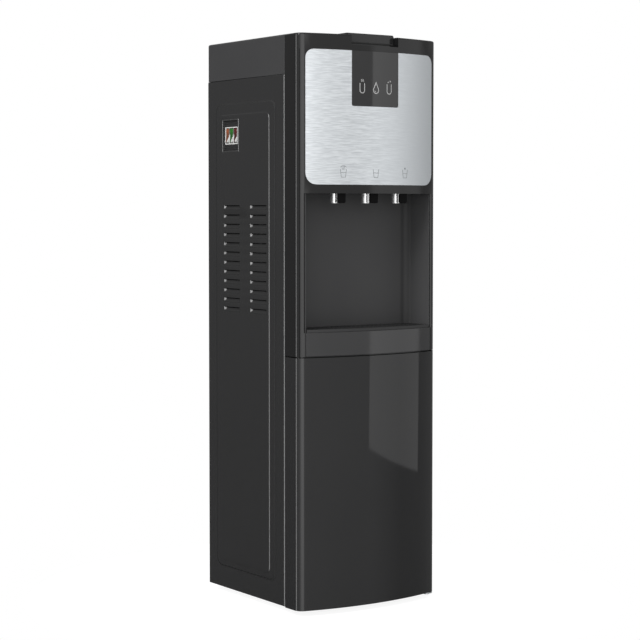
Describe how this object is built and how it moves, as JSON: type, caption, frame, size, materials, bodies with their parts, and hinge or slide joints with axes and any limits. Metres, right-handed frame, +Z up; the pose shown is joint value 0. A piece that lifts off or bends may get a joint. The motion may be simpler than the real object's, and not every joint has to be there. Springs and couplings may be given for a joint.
{
  "type": "water dispenser",
  "caption": "Tall floor-standing water dispenser with a base bottle cabinet, hinged door, push taps over a cup niche, drip tray, brushed fascia and louvred side panels.",
  "frame": {"origin": "on the floor under the middle of the body", "axes": "+Z up, the front with its taps faces -Y, the door hinges on the +X side, the switches are on the -X side"},
  "size_m": [0.3138, 0.33, 1.0465],
  "materials": {
    "satin_black_steel": "satin black pre-coated steel sheet",
    "galvanised_steel": "galvanised steel sheet",
    "matt_black_plastic": "fine-grained matt black plastic",
    "stainless_steel": "drawn stainless steel",
    "white_foam": "moulded insulation foam",
    "bare_aluminium": "extruded aluminium",
    "circuit_board": "green lacquered circuit board with parts",
    "smoked_window": "smoked gloss display window",
    "gloss_black_plastic": "high-gloss black injection-moulded ABS",
    "foot_rubber": "black rubber-like moulding",
    "clear_silicone": "milky food-grade silicone tube",
    "blue_silicone": "pale blue silicone tube",
    "rocker_dark_red": "dark red translucent rocker",
    "rocker_amber": "orange-red translucent rocker",
    "rocker_green": "green translucent rocker",
    "brushed_fascia_steel": "brushed steel sheet with short wavy strokes",
    "white_plastic": "white ABS",
    "chrome_nozzle": "bright chrome plate",
    "grey_plastic": "grey pump housing plastic"
  },
  "bodies": {
    "cabinet": {"back_panel": "satin_black_steel", "base_plate": "galvanised_steel", "bottle_tray": "matt_black_plastic", "cable_gland": "matt_black_plastic", "cold_tank": "stainless_steel", "cold_tank_jacket": "white_foam", "cooling_module": "bare_aluminium", "display_board": "circuit_board", "display_window": "smoked_window", "fan_frame": "matt_black_plastic", "foot_front_left": "foot_rubber", "foot_front_right": "foot_rubber", "foot_rear_left": "foot_rubber", "foot_rear_right": "foot_rubber", "front_frame": "gloss_black_plastic", "heat_sink": "bare_aluminium", "hinge_bracket_bottom": "galvanised_steel", "hinge_bracket_top": "galvanised_steel", "hinge_pin_bottom": "stainless_steel", "hinge_pin_top": "stainless_steel", "hose_cold": "clear_silicone", "hose_feed": "clear_silicone", "hose_fill": "blue_silicone", "hose_hot": "clear_silicone", "hose_room": "clear_silicone", "hot_tank": "stainless_steel", "left_side_panel": "satin_black_steel", "machine_shelf": "galvanised_steel", "niche_liner": "gloss_black_plastic", "power_board": "circuit_board", "probe_cap": "matt_black_plastic", "probe_tube": "stainless_steel", "right_side_panel": "satin_black_steel", "steel_fascia": "brushed_fascia_steel", "supply_hose": "blue_silicone", "switch_bezel": "matt_black_plastic", "switch_frame": "white_plastic", "tap_body_cold": "white_plastic", "tap_body_hot": "white_plastic", "tap_body_room": "white_plastic", "tap_nozzle_cold": "chrome_nozzle", "tap_nozzle_hot": "chrome_nozzle", "tap_nozzle_room": "chrome_nozzle", "top_cover": "gloss_black_plastic", "water_pump": "grey_plastic"},
    "door": {"door_shell": "gloss_black_plastic", "door_liner": "matt_black_plastic", "door_magnet": "matt_black_plastic"},
    "lid": {"top_lid": "gloss_black_plastic"},
    "tank_cap": {"tank_cap": "matt_black_plastic"},
    "drip_tray": {"drip_tray": "gloss_black_plastic"},
    "drip_grille": {"drip_grille": "matt_black_plastic"},
    "lever_hot": {"tap_lever_hot": "matt_black_plastic"},
    "lever_room": {"tap_lever_room": "matt_black_plastic"},
    "lever_cold": {"tap_lever_cold": "matt_black_plastic"},
    "rocker_hot": {"rocker_hot": "rocker_amber"},
    "rocker_power": {"rocker_power": "rocker_green"},
    "rocker_cold": {"rocker_cold": "rocker_dark_red"},
    "fan": {"fan_rotor": "matt_black_plastic"},
    "drain_plug": {"drain_plug": "matt_black_plastic"}
  },
  "joints": [
    {"name": "door_hinge", "type": "hinge", "parent": "cabinet", "child": "door", "pos_m": [0.143, -0.133, 0.238], "axis": [0, 0, 1], "range_deg": [0, 110]},
    {"name": "lid_hinge", "type": "hinge", "parent": "cabinet", "child": "lid", "pos_m": [0, 0.071, 1.0388], "axis": [-1, 0, 0], "range_deg": [0, 90]},
    {"name": "cap_turn", "type": "hinge", "parent": "cabinet", "child": "tank_cap", "pos_m": [0, -0.005, 1.012], "axis": [0, 0, 1], "range_deg": [0, 90]},
    {"name": "tray_slide", "type": "slide", "parent": "cabinet", "child": "drip_tray", "axis": [0, -1, 0], "range_m": [0, 0.085]},
    {"name": "grille_lift", "type": "slide", "parent": "drip_tray", "child": "drip_grille", "axis": [0, 0, 1], "range_m": [0, 0.03]},
    {"name": "lever_hot_push", "type": "hinge", "parent": "cabinet", "child": "lever_hot", "pos_m": [-0.069, -0.15049, 0.7965], "axis": [1, 0, 0], "range_deg": [0, 12], "stiffness_Nm_per_rad": 0.12, "springref_deg": -5.73},
    {"name": "lever_room_push", "type": "hinge", "parent": "cabinet", "child": "lever_room", "pos_m": [0, -0.1549, 0.7965], "axis": [1, 0, 0], "range_deg": [0, 12], "stiffness_Nm_per_rad": 0.12, "springref_deg": -5.73},
    {"name": "lever_cold_push", "type": "hinge", "parent": "cabinet", "child": "lever_cold", "pos_m": [0.069, -0.15049, 0.7965], "axis": [1, 0, 0], "range_deg": [0, 12], "stiffness_Nm_per_rad": 0.12, "springref_deg": -5.73},
    {"name": "rocker_cold_tip", "type": "hinge", "parent": "cabinet", "child": "rocker_cold", "pos_m": [-0.1492, 0.06665, 0.8673], "axis": [0, -1, 0], "range_deg": [0, 18]},
    {"name": "rocker_power_tip", "type": "hinge", "parent": "cabinet", "child": "rocker_power", "pos_m": [-0.1492, 0.08075, 0.8673], "axis": [0, -1, 0], "range_deg": [0, 18]},
    {"name": "rocker_hot_tip", "type": "hinge", "parent": "cabinet", "child": "rocker_hot", "pos_m": [-0.1492, 0.09485, 0.8673], "axis": [0, -1, 0], "range_deg": [0, 18]},
    {"name": "fan_spin", "type": "hinge", "parent": "cabinet", "child": "fan", "pos_m": [0, 0.1089, 0.898], "axis": [0, 1, 0], "continuous": true},
    {"name": "drain_plug_pull", "type": "slide", "parent": "cabinet", "child": "drain_plug", "axis": [0, 1, 0], "range_m": [0, 0.04]}
  ]
}
